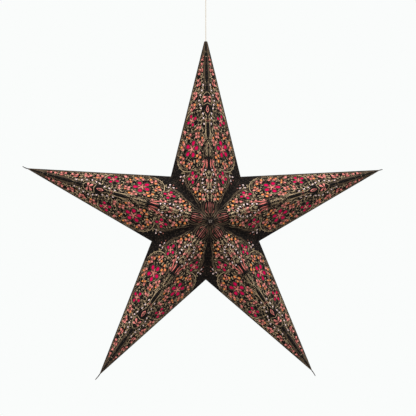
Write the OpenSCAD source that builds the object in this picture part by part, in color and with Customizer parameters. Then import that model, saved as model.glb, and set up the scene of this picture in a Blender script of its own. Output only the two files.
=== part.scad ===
// A hanging paper star lantern, in millimetres.
// Each of its five points is one sheet of black paper, with petal windows cut in it, folded
// along its ridges and side edges and glued shut by a flap along one side edge. A thin
// coloured lining lies behind the windows. The points are glued to each other by tabs that
// turn inwards along the valleys, and the star hangs by a cord through its top point.
// The origin is where the loop of the cord rests on a hook, +Z is up, the front faces -Y.

/* [Star] */
// Centre of the star to the tip of a point
tip_radius = 315; // [250:5:400]
// Centre of the star to the inner corner between two points
corner_radius = 97; // [85:1:110]
// Centre of the star to its front or back centre, where the ridges meet
half_depth = 88; // [75:1:105]

/* [Droop] */
// How much longer the top point is, drawn out by the cord
top_stretch = 2; // [0:0.5:6]
// How far the two side points hang below their even places, in degrees
side_droop = 1.5; // [0:0.1:3]
// How far the corners above and below the side points hang, in degrees
corner_droop = 1.8; // [0:0.1:3]
// How far the two lower points close towards each other, in degrees
lower_droop = 0.7; // [0:0.1:2]

/* [Paper] */
// Thickness of the folded outer paper
sheet_t = 0.4; // [0.3:0.05:0.6]
// Thickness of the coloured lining paper
lining_t = 0.2; // [0.15:0.05:0.4]
// Width of a glue tab, inwards from its valley
tab_w = 8; // [5:0.5:10]
// Where a tab starts, along its valley from the front or back centre
tab_start = 14; // [12:1:24]
// Where a tab ends, along its valley from the inner corner
tab_end = 22; // [16:1:30]
// Thickness of the glue on a tab's outer face
glue_t = 0.04; // [0.02:0.01:0.1]
// Width of the flap that closes a point along one side edge
flap_w = 6; // [4:0.5:7]
// Where the flap starts, past the inner corner
flap_start = 10; // [6:1:20]
// Edge of a lining to the tab or flap beside it
lining_gap = 0.3; // [0.2:0.05:1]
// Where the linings start, from the line through the front and back centres
lining_start = 6; // [4:0.5:12]
// End of a lining to the tip of its point
lining_tip_gap = 9; // [6:1:20]
// Hole left between the five points at the front and back centre
centre_hole_d = 2.4; // [1:0.1:4]

/* [Tips] */
// Tail of twisted paper past the tip of a side point
side_tail_l = 4.5; // [3:0.5:10]
// Tail of twisted paper past the tip of a lower point
lower_tail_l = 8; // [3:0.5:14]
// Thickness of a tail at its root
tail_d = 1.3; // [0.8:0.1:2]
// How much is cut off the top point to let the cord through
tip_cut = 9.6; // [8.6:0.2:14]

/* [Windows] */
// Length of a petal of the middle rosette
large_petal_l = 9; // [8:0.5:11]
// Width of a petal of the middle rosette
large_petal_w = 6.5; // [4:0.5:7.5]
// Middle of the middle rosette to the points of its petals
large_eye_r = 5.5; // [4.5:0.5:8]
// Length of a petal of the two smaller rosettes
small_petal_l = 6.4; // [5.6:0.4:8]
// Width of a petal of the two smaller rosettes
small_petal_w = 4.8; // [3:0.2:5.2]
// Middle of a smaller rosette to the points of its petals
small_eye_r = 4.2; // [3.4:0.2:6]
// Width of the long leaves beside the ridge
leaf_w = 3; // [1.6:0.2:4]

/* [Cord] */
// Diameter of the hanging cord
cord_d = 1.6; // [1:0.1:1.8]
// Where the loop rests on its hook to the opening of the top point
hang_l = 104; // [90:1:108]
// Diameter of the knot that holds up the top point from inside
stopper_d = 6; // [5:0.2:8]
// Diameter of the knot that closes the loop
loop_knot_d = 6.4; // [6:0.2:9]
// Top of the loop's knot, down from the hook
loop_knot_top = 22; // [22:0.5:24]
// Bottom of the loop's knot, down from the hook
loop_knot_foot = 28; // [26:0.5:29]
// Room round the cord in its knots, and between a knot and the paper
knot_gap = 0.06; // [0.05:0.01:0.2]

/* [Hidden] */
POINTS = ["top", "upper_right", "lower_right", "lower_left", "upper_left"];
SHEETS = [for (name = POINTS) str("point_", name)];
LININGS = [for (name = POINTS) str("lining_", name)];
$fn = 40;

paper_black = [0.10, 0.09, 0.08];
lining_pink = [0.82, 0.06, 0.34];
cord_white = [0.90, 0.87, 0.80];

// Directions from the star's centre, clockwise from the top point as seen from the front
tip_angles = [90, 18 - side_droop, -54 - lower_droop, -126 + lower_droop, 162 + side_droop];
// The inner corner that comes after each point, in the same order
corner_angles = [54 - corner_droop, -18 - corner_droop, -90, -162 + corner_droop, 126 + corner_droop];
tail_lengths = [0, side_tail_l, lower_tail_l, lower_tail_l, side_tail_l];
// How far each tail turns clockwise towards its end, in degrees
tail_turns = [0, 10, 6, 9, 34];

front_centre = [0, -half_depth, 0];
back_centre = [0, half_depth, 0];
valley_l = norm([corner_radius, half_depth]);

// The middle of each rosette on a facet: a share of the ridge, from its centre to the tip, and
// a share of the way from the ridge to the inner corner
large_rosette = [0.408, 0.435];
inner_rosette = [0.256, 0.425];
outer_rosette = [0.562, 0.415];
// Turn of the petals from the ridge's direction, in degrees
large_turn = -22;
outer_turn = 12;
// The leaves beside the ridge: the same two shares, length and turn in degrees
leaves = [
    [0.087, 0.100, 13, -14],
    [0.303, 0.055, 17, 0],
    [0.299, 0.130, 17, -26],
    [0.746, 0.185, 8, -12],
    [0.816, 0.115, 8, -12]
];

// The cord's middle line, from its free end inside the top point up to the loop and round it
cord_route = [
    [0, 0, -124],
    [0, 0, -112],
    [0, 0, -64],
    [0, 0, -28],
    [0, 0, -22],
    [2, 0, -19],
    [4, 0, -15.5],
    [5.4, 0, -11],
    [6, 0, -6],
    [5.2, 0, -2.2],
    [3, 0, 0],
    [0, 0, 0.8],
    [-3, 0, 0],
    [-5.2, 0, -2.2],
    [-6, 0, -6],
    [-5.8, 0, -11],
    [-4.8, 0, -15.5],
    [-3.2, 0, -19],
    [-1.7, 0, -22],
    [-1.7, 0, -28],
    [-1.7, 0, -32]
];
cord_sides = 8;
ring_spacing = 3 * cord_d;
// The loop's returning strand lies beside the cord in the knot
strand_pitch = 1.7;

last = len(POINTS) - 1;

function unit(v) = v / norm(v);
function polar(r, a) = [r * cos(a), 0, r * sin(a)];
function flat(v) = [v.x, v.z];
function tip(i) = polar(tip_radius + (i == 0 ? top_stretch : 0), tip_angles[i]);
// The inner corners on the two sides of a point: first the one after it, then the one before
function corners(i) = [for (k = [i, (i + last) % len(POINTS)]) polar(corner_radius, corner_angles[k])];
// Outward normal of the front facet on one side of a point
function facet_normal(i, side) =
    (side == 0 ? 1 : -1) * unit(cross(front_centre - tip(i), corners(i)[side] - tip(i)));
// The tip of the space that lies a depth inside all four facets of a point
function inner_tip(i, depth) =
    let (a = facet_normal(i, 0), b = facet_normal(i, 1), det = a.x * b.z - a.z * b.x)
    tip(i) - depth / det * [b.z - a.z, 0, a.x - b.x];

// The star's centre hangs this far under the hook
centre_drop = hang_l - tip_cut + norm(tip(0));
// A knot in the top point stops where the room between the facets is as wide as the knot
widening = facet_normal(0, 0) * unit(tip(0));
stopper_drop = (stopper_d / 2 + knot_gap + sheet_t) / widening;
stopper_z = tip_cut - hang_l - stopper_drop;
// How far the flap and the lining of a point stop short of its tip
function end_gap(i) = i == 0 ? stopper_drop + stopper_d : lining_tip_gap;
// The flap's width, measured straight back from the side edge
function flap_depth(i) = flap_w * norm(flat(facet_normal(i, 0)));

// The space inside a point, a depth under its outer faces: four facets that run from the tip
// to the front and back centres and the two inner corners. A reach of 1 ends it at the valleys.
module point_space(i, depth, reach) {
    apex = inner_tip(i, depth);
    rim = [front_centre, corners(i)[0], back_centre, corners(i)[1]];
    polyhedron(
        points = concat([apex], [for (p = rim) apex + reach * (p - tip(i))]),
        faces = [[0, 2, 1], [0, 3, 2], [0, 4, 3], [0, 1, 4], [1, 2, 3], [1, 3, 4]]
    );
}

past_valleys = 1.2;

// The paper between two depths under a point's outer faces
module point_wall(i, outer_depth, inner_depth) {
    difference() {
        point_space(i, outer_depth, outer_depth == 0 ? 1 : past_valleys);
        point_space(i, inner_depth, past_valleys + 0.1);
    }
}

// Extends an outline, drawn as seen from the front, through the whole star
module through_star() {
    rotate([90, 0, 0])
        linear_extrude(height = 3 * half_depth, center = true)
            children();
}

// Seen from the front, what lies between a point's two valleys less a margin, up to a radius
module between_valleys(i, margin, end_radius) {
    to_corners = [for (c = corners(i)) unit(flat(c))];
    along = unit(flat(tip(i)));
    spread = acos(to_corners[0] * to_corners[1]);
    // Here both valleys are a margin away
    heart = margin / sin(spread / 2) * unit(to_corners[0] + to_corners[1]);
    side_room = corner_radius * [along.y, -along.x];
    polygon([
        heart,
        heart + corner_radius * to_corners[0],
        end_radius * along + side_room,
        end_radius * along - side_room,
        heart + corner_radius * to_corners[1]
    ]);
}

// One side of a point, between two depths behind its side edge, and from the inner corner on
module behind_side_edge(i, from, to, start, end_radius) {
    corner_along = corners(i)[0] * unit(tip(i));
    rotate([0, 90 - tip_angles[i], 0])
        translate([0, from, corner_along + start])
            cube([corner_radius, to - from, end_radius - corner_along - start]);
}

// A glue tab: a strip with slanting ends along the plane of a valley, on the point's side of it
module valley_tab(i, side, centre) {
    along = (corners(i)[side] - centre) / valley_l;
    inward = unit(cross(along, cross(-centre, along)));
    thick = cross(along, inward);
    multmatrix([for (k = [0:2]) [along[k], inward[k], thick[k], centre[k]]])
        translate([0, 0, thick * tip(i) > 0 ? glue_t : -glue_t - sheet_t])
            linear_extrude(height = sheet_t)
                polygon([
                    [tab_start, 0],
                    [valley_l - tab_end, 0],
                    [valley_l - tab_end - tab_w, tab_w],
                    [tab_start + tab_w, tab_w]
                ]);
}

// The flap that closes the sheet: it comes off the front facet's side edge and is glued inside
// the back facet
module seam_flap(i) {
    intersection() {
        point_wall(i, sheet_t / 2, 2 * sheet_t);
        behind_side_edge(i, 0, flap_depth(i), flap_start, norm(tip(i)) - end_gap(i));
    }
}

tail_rings = 5;
tail_sides = 6;
// A tail starts inside the solid end of its tip, by this share of that end
tail_root = 0.9;
// Width of a tail's end, as a share of its root
tail_taper = 0.4;

// A thin tail that the paper runs out into at a closed tip, turned a little to one side
module paper_tail(i) {
    root_l = tail_root * sheet_t / (facet_normal(i, 0) * unit(tip(i)));
    step = (root_l + tail_lengths[i]) / (tail_rings - 1);
    headings = [for (k = [0:tail_rings - 1]) tip_angles[i] - tail_turns[i] * k / (tail_rings - 1)];
    root = polar(norm(tip(i)) - root_l, tip_angles[i]);
    middles = [for (k = 0, p = root; k < tail_rings; p = p + polar(step, headings[k]), k = k + 1) p];
    points = [
        for (k = [0:tail_rings - 1], s = [0:tail_sides - 1])
            let (r = tail_d / 2 * (1 - (1 - tail_taper) * k / (tail_rings - 1)), a = 360 * s / tail_sides)
            middles[k] + r * (cos(a) * [0, 1, 0] + sin(a) * polar(1, headings[k] + 90))
    ];
    polyhedron(points = points, faces = tube_faces(tail_rings, tail_sides));
}

// The faces of a tube whose rings follow each other in one list of points
function tube_faces(rings, sides) = concat(
    [
        for (k = [0:rings - 2], s = [0:sides - 1])
            let (next = (s + 1) % sides)
            [k * sides + s, k * sides + next, (k + 1) * sides + next, (k + 1) * sides + s]
    ],
    [[for (s = [sides - 1:-1:0]) s], [for (s = [0:sides - 1]) (rings - 1) * sides + s]]
);

// A petal, from its point at the origin to its round end
module petal(length, width) {
    r = width / 2;
    translate([length - r, 0])
        circle(r);
    // The straight sides cross the circle. Sides that only touched it would leave the mesh open.
    polygon([[0, 0], [length - r, -0.9 * r], [length - r, 0.9 * r]]);
}

module rosette(petals, turn, eye_r, length, width) {
    for (k = [0:petals - 1])
        rotate(turn + 360 * k / petals)
            translate([eye_r, 0])
                petal(length, width);
}

// A leaf: two arcs that meet in a point at each end
module leaf(length, width) {
    arc_r = (length * length + width * width) / (4 * width);
    intersection() {
        translate([0, arc_r - width / 2]) circle(arc_r, $fn = 120);
        translate([0, width / 2 - arc_r]) circle(arc_r, $fn = 120);
    }
}

// The windows of one facet, as cutters. The ridge runs from the centre along x.
module facet_windows(i, side, centre) {
    ridge = tip(i) - centre;
    along = unit(ridge);
    to_corner = corners(i)[side] - centre;
    sideways = to_corner - (to_corner * along) * along;
    across = unit(sideways);
    out = cross(along, across);
    size = [norm(ridge), norm(sideways)];
    multmatrix([for (k = [0:2]) [along[k], across[k], out[k], centre[k]]])
        linear_extrude(height = 4 * sheet_t, center = true) {
            translate([large_rosette.x * size.x, large_rosette.y * size.y])
                rosette(5, large_turn, large_eye_r, large_petal_l, large_petal_w);
            translate([inner_rosette.x * size.x, inner_rosette.y * size.y])
                rosette(4, 0, small_eye_r, small_petal_l, small_petal_w);
            translate([outer_rosette.x * size.x, outer_rosette.y * size.y])
                rosette(4, outer_turn, small_eye_r, small_petal_l, small_petal_w);
            for (l = leaves)
                translate([l[0] * size.x, l[1] * size.y])
                    rotate(l[3])
                        leaf(l[2], leaf_w);
        }
}

// One point of the star: its folded sheet with tabs, flap, windows and tip
module point_sheet(i) {
    color(paper_black)
        translate([0, 0, -centre_drop])
            difference() {
                union() {
                    point_wall(i, 0, sheet_t);
                    seam_flap(i);
                    for (side = [0, 1], centre = [front_centre, back_centre])
                        valley_tab(i, side, centre);
                    if (i > 0)
                        paper_tail(i);
                }
                for (side = [0, 1], centre = [front_centre, back_centre])
                    facet_windows(i, side, centre);
                through_star()
                    circle(d = centre_hole_d);
                if (i == 0)
                    translate([-tip_cut, -tip_cut, norm(tip(0)) - tip_cut])
                        cube(2 * tip_cut);
            }
}

// The thin coloured sheet behind a point's windows. It is open along the side edge that has
// the flap.
module lining(i) {
    color(lining_pink)
        translate([0, 0, -centre_drop])
            difference() {
                intersection() {
                    point_wall(i, sheet_t, sheet_t + lining_t);
                    through_star()
                        between_valleys(i, glue_t + sheet_t + lining_gap, norm(tip(i)) - end_gap(i));
                }
                through_star()
                    circle(r = lining_start);
                behind_side_edge(i, 0, flap_depth(i) + lining_gap, -flap_start, norm(tip(i)));
            }
}

function heading(route, k) = unit(route[min(k + 1, len(route) - 1)] - route[max(k - 1, 0)]);

// The route with its long straight stretches divided, so that no two rings are far apart
function with_rings(route) = concat(
    [
        for (k = [0:len(route) - 2])
            let (span = route[k + 1] - route[k], n = ceil(norm(span) / ring_spacing))
            for (j = [0:n - 1]) route[k] + span * j / n
    ],
    [route[len(route) - 1]]
);

module hanging_cord() {
    middles = with_rings(cord_route);
    points = [
        for (k = [0:len(middles) - 1], s = [0:cord_sides - 1])
            let (h = heading(middles, k), a = 360 * s / cord_sides)
            middles[k] + cord_d / 2 * (cos(a) * cross(h, [0, 1, 0]) + sin(a) * [0, 1, 0])
    ];
    color(cord_white)
        polyhedron(points = points, faces = tube_faces(len(middles), cord_sides));
}

// The knot under the loop, wrapped round both strands
module loop_knot() {
    l = loop_knot_foot - loop_knot_top;
    color(cord_white)
        translate([-strand_pitch / 2, 0, -loop_knot_foot])
            difference() {
                cylinder(d = loop_knot_d, h = l);
                translate([0, 0, -1])
                    linear_extrude(height = l + 2)
                        square([strand_pitch + cord_d + 2 * knot_gap, cord_d + 2 * knot_gap], center = true);
            }
}

// The knot inside the top point, with the cord's end out of its lower side
module stopper_knot() {
    color(cord_white)
        translate([0, 0, stopper_z])
            difference() {
                sphere(d = stopper_d);
                cylinder(d = cord_d + 2 * knot_gap, h = 2 * stopper_d, center = true);
            }
}

for (i = [0:last]) {
    point_sheet(i);
    lining(i);
}
hanging_cord();
loop_knot();
stopper_knot();
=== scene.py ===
# %% [markdown]
# # A folded paper star lantern
# Five long points of black printed card are glued round one centre. Each point is one sheet,
# folded along a front ridge, a back ridge and its side edges. Flower petals are cut out of the
# card, and pink tissue glued behind them shows through. The star hangs by a thin cotton string.
#
# The measured model gives the sizes. Here each of its solids gets the finish of the real thing.

# %% Load the measured model
import math
import random

import bmesh
import bpy
import numpy as np
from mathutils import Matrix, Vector
from mathutils.geometry import delaunay_2d_cdt


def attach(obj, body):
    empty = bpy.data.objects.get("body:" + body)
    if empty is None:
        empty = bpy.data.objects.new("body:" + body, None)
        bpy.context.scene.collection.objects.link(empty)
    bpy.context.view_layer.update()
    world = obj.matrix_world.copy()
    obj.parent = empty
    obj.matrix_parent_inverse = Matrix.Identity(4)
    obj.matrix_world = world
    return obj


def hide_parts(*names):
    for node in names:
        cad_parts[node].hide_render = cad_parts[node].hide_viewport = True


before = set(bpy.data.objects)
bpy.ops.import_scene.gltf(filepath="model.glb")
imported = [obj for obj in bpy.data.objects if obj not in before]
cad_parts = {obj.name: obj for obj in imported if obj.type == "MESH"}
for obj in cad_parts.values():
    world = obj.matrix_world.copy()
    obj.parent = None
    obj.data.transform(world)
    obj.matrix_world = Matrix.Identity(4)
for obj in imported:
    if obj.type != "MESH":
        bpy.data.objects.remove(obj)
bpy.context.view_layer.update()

print("nodes of the measured model:", sorted(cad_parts))

# %% [markdown]
# ## The camera
# A camera can be placed by eye, or worked out from a few corners of the object whose places in
# the picture are known. The second was done here, with the ten corners of the star. The camera
# stands 1.9 metres away, almost square to the star and a little to its left. A long lens keeps
# the five points nearly as they are drawn on paper.

# %% Place the camera
MM = 0.001
STAR_CENTRE = np.array([0.0, 0.0, -411.4])  # millimetres, under the hook that holds the loop
CAMERA_FROM_CENTRE = Vector((-0.1614, -1.8830, -0.0164))  # metres

camera_data = bpy.data.cameras.new("camera")
camera_data.lens = 96.4
camera_data.sensor_width = 36
camera_data.shift_x = 0.0053
camera_data.shift_y = 0.0330
camera_data.clip_start = 0.05
camera = bpy.data.objects.new("camera", camera_data)
bpy.context.scene.collection.objects.link(camera)
target = Vector(STAR_CENTRE * MM)
camera.location = target + CAMERA_FROM_CENTRE
camera.rotation_mode = "QUATERNION"
camera.rotation_quaternion = (target - camera.location).to_track_quat("-Z", "Y")
bpy.context.scene.camera = camera
print("the camera is", round((target - camera.location).length, 3), "m from the star's centre")

# %% [markdown]
# ## From numbers to a mesh
# Every piece below is worked out as points and faces in millimetres. One helper turns them into
# a mesh: it joins points that lie in the same place, drops those that no face uses, gives each
# face its material, and keeps edges sharp where the surface turns more than a set angle.


# %% A helper that makes a piece
def make_piece(name, points, faces, finishes, face_finish=None, sharp=25):
    """A mesh object from points in millimetres. face_finish picks one of the finishes for each face."""
    points = np.asarray(points, float)
    _, first, same = np.unique(np.round(points, 3), axis=0, return_index=True, return_inverse=True)
    same = same.ravel()
    kept, kept_finish = [], []
    for k, face in enumerate(faces):
        corners = [int(same[p]) for p in face]
        corners = [c for n, c in enumerate(corners) if c != corners[n - 1]]
        if len(set(corners)) > 2:
            kept.append(corners)
            kept_finish.append(0 if face_finish is None else int(face_finish[k]))
    used = sorted({c for face in kept for c in face})
    place = {c: n for n, c in enumerate(used)}
    mesh = bpy.data.meshes.new(name)
    mesh.from_pydata((points[first[used]] * MM).tolist(), [], [[place[c] for c in face] for face in kept])
    for finish in finishes:
        mesh.materials.append(finish)
    mesh.polygons.foreach_set("material_index", kept_finish)
    mesh.polygons.foreach_set("use_smooth", [True] * len(kept))
    mesh.update()
    mesh.set_sharp_from_angle(angle=math.radians(sharp))
    piece = bpy.data.objects.new(name, mesh)
    bpy.context.scene.collection.objects.link(piece)
    return piece


# %% [markdown]
# ## Patterns that several finishes share
# Card, tissue and cotton all show fine fibres, and none of them has one even colour. Two node
# groups give these effects: one makes fibres and a height for the bump, the other lets a colour
# drift and lets flecks of the ground show through it. Each material places them with its own
# values, so the effects are made once.


# %% Helpers for node trees
def new_group(name, inputs, outputs):
    """A shader node group with the named sockets, and its input and output nodes."""
    group = bpy.data.node_groups.new(name, "ShaderNodeTree")
    for label, kind, value in inputs:
        socket = group.interface.new_socket(name=label, in_out="INPUT", socket_type=kind)
        if value is not None:
            socket.default_value = value
    for label, kind in outputs:
        group.interface.new_socket(name=label, in_out="OUTPUT", socket_type=kind)
    return group, group.nodes.new("NodeGroupInput"), group.nodes.new("NodeGroupOutput")


def add_node(tree, kind, **settings):
    """A node with its settings and with values on its sockets, which are named in_Scale and so on."""
    node = tree.nodes.new(kind)
    for key, value in settings.items():
        if key.startswith("in_"):
            node.inputs[key[3:].replace("_", " ")].default_value = value
        else:
            setattr(node, key, value)
    return node


def mix_colours(tree, factor, one, other):
    """A mix of two colours, by a factor. All three come from sockets of other nodes."""
    node = add_node(tree, "ShaderNodeMix", data_type="RGBA")
    for index, source in ((0, factor), (6, one), (7, other)):
        tree.links.new(source, node.inputs[index])
    return node.outputs[2]


# %% The fibres of paper and cotton
FLOAT, COLOUR, VECTOR = "NodeSocketFloat", "NodeSocketColor", "NodeSocketVector"
fibres, fibres_in, fibres_out = new_group(
    "fibres",
    [("Position", VECTOR, None), ("Fineness", FLOAT, 900.0)],
    [("Height", FLOAT), ("Tone", FLOAT)],
)
stretch = add_node(fibres, "ShaderNodeVectorMath", operation="MULTIPLY")
stretch.inputs[1].default_value = (1.0, 1.0, 0.35)  # fibres about three times as long as wide
long_fibres = add_node(fibres, "ShaderNodeTexNoise", in_Detail=6.0, in_Roughness=0.62, in_Distortion=1.4)
tooth = add_node(fibres, "ShaderNodeTexVoronoi", in_Randomness=1.0)
tooth_scale = add_node(fibres, "ShaderNodeMath", operation="MULTIPLY")
tooth_scale.inputs[1].default_value = 1.7
height = add_node(fibres, "ShaderNodeMath", operation="MULTIPLY_ADD")
height.inputs[1].default_value = 0.35  # the share of the tooth in the height
for source, goal in (
    (fibres_in.outputs["Position"], stretch.inputs[0]),
    (fibres_in.outputs["Position"], tooth.inputs["Vector"]),
    (fibres_in.outputs["Fineness"], long_fibres.inputs["Scale"]),
    (fibres_in.outputs["Fineness"], tooth_scale.inputs[0]),
    (stretch.outputs[0], long_fibres.inputs["Vector"]),
    (tooth_scale.outputs[0], tooth.inputs["Scale"]),
    (tooth.outputs["Distance"], height.inputs[0]),
    (long_fibres.outputs["Fac"], height.inputs[2]),
    (height.outputs[0], fibres_out.inputs["Height"]),
    (long_fibres.outputs["Fac"], fibres_out.inputs["Tone"]),
):
    fibres.links.new(source, goal)
print("group", fibres.name, "has", len(fibres.nodes), "nodes")

# %% A colour that drifts, and that lets flecks of the ground through
drift, drift_in, drift_out = new_group(
    "drifting_colour",
    [
        ("Position", VECTOR, None),
        ("Colour", COLOUR, (0.5, 0.5, 0.5, 1)),
        ("Second Colour", COLOUR, (0.4, 0.4, 0.4, 1)),
        ("Ground", COLOUR, (0.01, 0.01, 0.01, 1)),
        ("Patch Size", FLOAT, 60.0),
        ("Flecks", FLOAT, 0.3),
    ],
    [("Colour", COLOUR)],
)
patches = add_node(drift, "ShaderNodeTexNoise", in_Detail=3.0, in_Roughness=0.55)
patch_edges = add_node(drift, "ShaderNodeMapRange", in_From_Min=0.36, in_From_Max=0.64)
specks = add_node(drift, "ShaderNodeTexNoise", in_Scale=1500.0, in_Detail=2.0, in_Roughness=0.7)
speck_edges = add_node(drift, "ShaderNodeMapRange", in_From_Min=0.58, in_From_Max=0.7)
bare = add_node(drift, "ShaderNodeMath", operation="MULTIPLY")
for source, goal in (
    (drift_in.outputs["Position"], patches.inputs["Vector"]),
    (drift_in.outputs["Position"], specks.inputs["Vector"]),
    (drift_in.outputs["Patch Size"], patches.inputs["Scale"]),
    (patches.outputs["Fac"], patch_edges.inputs["Value"]),
    (specks.outputs["Fac"], speck_edges.inputs["Value"]),
    (speck_edges.outputs["Result"], bare.inputs[0]),
    (drift_in.outputs["Flecks"], bare.inputs[1]),
):
    drift.links.new(source, goal)
patched = mix_colours(
    drift, patch_edges.outputs["Result"], drift_in.outputs["Colour"], drift_in.outputs["Second Colour"]
)
flecked = mix_colours(drift, bare.outputs[0], patched, drift_in.outputs["Ground"])
drift.links.new(flecked, drift_out.inputs["Colour"])
print("group", drift.name, "has", len(drift.nodes), "nodes")


# %% [markdown]
# ## The finishes
# Colours are mixed from the photograph and written as they look on a screen, from 0 to
# 255. A small function turns them into the linear values that a shader works with. Each finish
# is a drifting colour with fibres in its bump, and its roughness follows the fibres too.


# %% A helper that makes a finish
def as_light(red, green, blue):
    """A colour as seen on a screen, in the linear values that light adds up in."""
    linear = [((c / 255 + 0.055) / 1.055) ** 2.4 if c > 10 else c / 255 / 12.92 for c in (red, green, blue)]
    return (*linear, 1.0)


CARD_BLACK = (10, 7, 6)


def make_finish(
    name, colour, second, ground=CARD_BLACK, patch=60.0, flecks=0.3, fineness=900.0,
    rough=(0.6, 0.85), bump=0.25, relief=0.00004, sheen=0.0, sheen_colour=(255, 255, 255),
):
    """A procedural material: a drifting, flecked colour, uneven roughness and fibres in the bump."""
    material = bpy.data.materials.new(name)
    material.use_nodes = True
    tree = material.node_tree
    shader = tree.nodes["Principled BSDF"]
    place = add_node(tree, "ShaderNodeTexCoord")
    colours = add_node(
        tree, "ShaderNodeGroup", node_tree=drift, in_Patch_Size=patch, in_Flecks=flecks,
        in_Colour=as_light(*colour), in_Second_Colour=as_light(*second), in_Ground=as_light(*ground),
    )
    grain = add_node(tree, "ShaderNodeGroup", node_tree=fibres, in_Fineness=fineness)
    roughness = add_node(tree, "ShaderNodeMapRange", in_To_Min=rough[0], in_To_Max=rough[1])
    roughness.inputs["From Min"].default_value = 0.3
    roughness.inputs["From Max"].default_value = 0.7
    bumps = add_node(tree, "ShaderNodeBump", in_Strength=bump, in_Distance=relief)
    for source, goal in (
        (place.outputs["Object"], colours.inputs["Position"]),
        (place.outputs["Object"], grain.inputs["Position"]),
        (colours.outputs["Colour"], shader.inputs["Base Color"]),
        (grain.outputs["Tone"], roughness.inputs["Value"]),
        (roughness.outputs["Result"], shader.inputs["Roughness"]),
        (grain.outputs["Height"], bumps.inputs["Height"]),
        (bumps.outputs["Normal"], shader.inputs["Normal"]),
    ):
        tree.links.new(source, goal)
    shader.inputs["Specular IOR Level"].default_value = 0.07
    shader.inputs["Sheen Weight"].default_value = sheen
    shader.inputs["Sheen Tint"].default_value = as_light(*sheen_colour)
    return material


# %% The inks, the card and the tissue
INKS = {
    "card": make_finish("black_card", CARD_BLACK, (15, 11, 10), (34, 27, 23), 180.0, 0.35),
    "faint": make_finish("faint_gold_ink", (66, 56, 46), (42, 35, 30), patch=120.0, flecks=0.4),
    "bronze": make_finish("bronze_ink", (124, 105, 84), (94, 78, 61), patch=90.0, flecks=0.3),
    "gold": make_finish("gold_ink", (194, 170, 136), (164, 142, 110), patch=90.0, flecks=0.25),
    "dusky": make_finish("dusky_pink_ink", (176, 108, 96), (144, 84, 74), flecks=0.3),
    "salmon": make_finish("salmon_ink", (246, 150, 142), (204, 114, 106), patch=150.0, flecks=0.12),
    "orange": make_finish("orange_ink", (250, 158, 74), (212, 122, 92), patch=150.0, flecks=0.15),
    "pearl": make_finish("pearl_ink", (246, 222, 220), (218, 194, 194), flecks=0.1),
    "worn": make_finish("worn_fold", (128, 118, 108), (60, 50, 44), patch=300.0, flecks=0.5, bump=0.5),
}
INK_ORDER = list(INKS)
cut_card = make_finish("cut_card_edge", (74, 64, 56), (52, 45, 40), flecks=0.2)
card_inside = make_finish("card_inside", (196, 190, 178), (182, 176, 164), (150, 144, 132), 30.0, 0.3)
TISSUE_FEEL = {
    "patch": 140.0, "flecks": 0.35, "fineness": 500.0, "rough": (0.55, 0.8), "bump": 0.35, "relief": 0.00008,
}
TISSUES = [
    make_finish(name, *colours, **TISSUE_FEEL)
    for name, *colours in (
        ("salmon_tissue", (236, 132, 120), (222, 112, 104), (200, 96, 88)),
        ("magenta_tissue", (216, 4, 84), (192, 0, 70), (160, 0, 56)),
        ("dusky_tissue", (168, 98, 88), (146, 80, 72), (120, 64, 58)),
    )
]
SALMON_TISSUE, MAGENTA_TISSUE, DUSKY_TISSUE = range(3)
twisted_paper = make_finish("twisted_paper", (46, 42, 40), (28, 26, 25), patch=700.0, flecks=0.4)
cotton = make_finish(
    "cotton_string", (214, 208, 196), (198, 190, 176), (176, 166, 148), 400.0, 0.3, 2600.0,
    (0.75, 0.95), bump=0.5, relief=0.00006, sheen=0.3, sheen_colour=(250, 246, 236),
)
print(len(bpy.data.materials), "materials")

# %% [markdown]
# ## The hanging string
# The string is three thin plies of cotton laid round each other. A plain tube would look like
# wire, so each ply is swept on its own round the string's middle line. The route is the one of
# the measured model: up from the knot inside the top point, through the opening, and round
# the loop that rests on the hook. It hangs taut, so all but its loop is straight.

# %% The string's route
STRING_WIDTH, PLY_PITCH = 1.6, 5.2
ROUTE = [
    (0, 0, -124), (0, 0, -112), (0, 0, -64), (0, 0, -28), (0, 0, -22), (2, 0, -19), (4, 0, -15.5),
    (5.4, 0, -11), (6, 0, -6), (5.2, 0, -2.2), (3, 0, 0), (0, 0, 0.8), (-3, 0, 0), (-5.2, 0, -2.2),
    (-6, 0, -6), (-5.8, 0, -11), (-4.8, 0, -15.5), (-3.2, 0, -19), (-1.7, 0, -22), (-1.7, 0, -28),
    (-1.7, 0, -32),
]


def evenly(points, step):
    """Points about a step apart along a line, on a smooth curve through its corners."""
    points = np.array(points, float)
    ends = np.vstack([2 * points[0] - points[1], points, 2 * points[-1] - points[-2]])
    fine = []
    for a, b, c, d in zip(ends, ends[1:], ends[2:], ends[3:]):
        for t in np.linspace(0, 1, 12, endpoint=False):
            fine.append(
                b + 0.5 * t * (c - a + t * (2 * a - 5 * b + 4 * c - d + t * (3 * (b - c) + d - a)))
            )
    fine = np.vstack([fine, points[-1]])
    along = np.concatenate([[0], np.cumsum(np.linalg.norm(np.diff(fine, axis=0), axis=1))])
    places = np.linspace(0, along[-1], max(3, int(round(along[-1] / step)) + 1))
    return np.stack([np.interp(places, along, fine[:, k]) for k in range(fine.shape[1])], axis=1)


string_line = evenly(ROUTE, 0.35)


# %% Sweeping a round section along a line
def side_vectors(line):
    """Two directions square to a line at each of its points, turning as little as possible."""
    headings = np.gradient(line, axis=0)
    headings /= np.linalg.norm(headings, axis=1)[:, None]
    side = np.array([0.0, 1.0, 0.0]) if abs(headings[0][1]) < 0.9 else np.array([1.0, 0.0, 0.0])
    sides = []
    for heading in headings:
        side = side - (side @ heading) * heading
        side = side / np.linalg.norm(side)
        sides.append(side)
    sides = np.array(sides)
    return sides, np.cross(headings, sides)


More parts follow.
